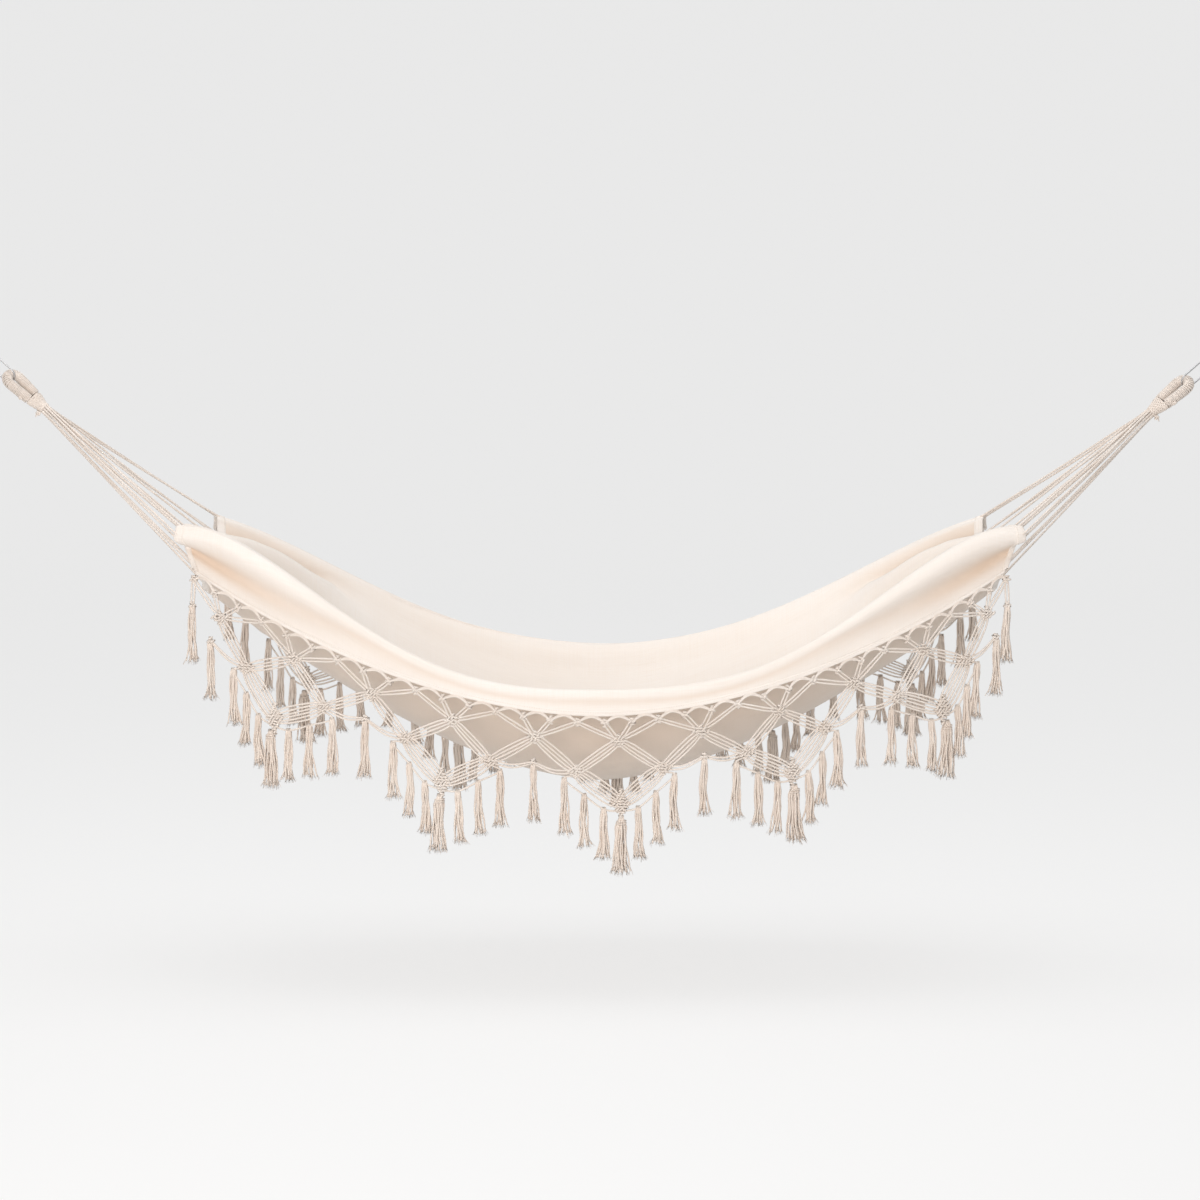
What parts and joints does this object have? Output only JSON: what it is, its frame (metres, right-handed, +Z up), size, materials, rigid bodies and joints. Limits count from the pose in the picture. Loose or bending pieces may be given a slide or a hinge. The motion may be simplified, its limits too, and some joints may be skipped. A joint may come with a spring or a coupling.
{
  "type": "hammock",
  "caption": "Cream canvas hammock gathered on fanned ropes at both ends, with wrapped rope eyes, steel hanging links, and a knotted net fringe with tassels along both sides.",
  "frame": {"origin": "the seat of the left hanging link: the inside of its outer bend, where a hook carries it", "axes": "+X along the hammock from the left link to the right link, +Y from the near side to the far side, +Z up"},
  "size_m": [2.6309, 0.6712, 1.0781],
  "materials": {
    "canvas": "plain woven cream cotton canvas",
    "rope": "twisted cream cotton rope",
    "net_cord": "knotted cream cotton cord",
    "tassel_yarn": "loose cream cotton yarn",
    "steel_wire": "plain bright steel wire"
  },
  "bodies": {
    "hangers": {"left_hanging_link": "steel_wire", "right_hanging_link": "steel_wire"},
    "hammock": {"left_eye_core": "rope", "left_eye_wrapping": "rope", "left_throat": "rope", "left_tail_knot": "rope", "left_suspension_cords": "rope", "left_end_hem": "canvas", "right_eye_core": "rope", "right_eye_wrapping": "rope", "right_throat": "rope", "right_tail_knot": "rope", "right_suspension_cords": "rope", "right_end_hem": "canvas", "bed_canvas": "canvas", "near_side_hem": "canvas", "far_side_hem": "canvas", "near_net_1": "net_cord", "near_net_2": "net_cord", "near_net_3": "net_cord", "near_net_4": "net_cord", "near_net_5": "net_cord", "far_net_1": "net_cord", "far_net_2": "net_cord", "far_net_3": "net_cord", "far_net_4": "net_cord", "far_net_5": "net_cord", "near_tassels_1": "tassel_yarn", "near_tassels_2": "tassel_yarn", "near_tassels_3": "tassel_yarn", "near_tassels_4": "tassel_yarn", "near_tassels_5": "tassel_yarn", "far_tassels_1": "tassel_yarn", "far_tassels_2": "tassel_yarn", "far_tassels_3": "tassel_yarn", "far_tassels_4": "tassel_yarn", "far_tassels_5": "tassel_yarn"}
  },
  "joints": [
    {"name": "hammock_swing", "type": "hinge", "parent": "hangers", "child": "hammock", "pos_m": [0.05657, 0, -0.05312], "axis": [1, 0, -0.0047], "range_deg": [-12, 12]}
  ]
}
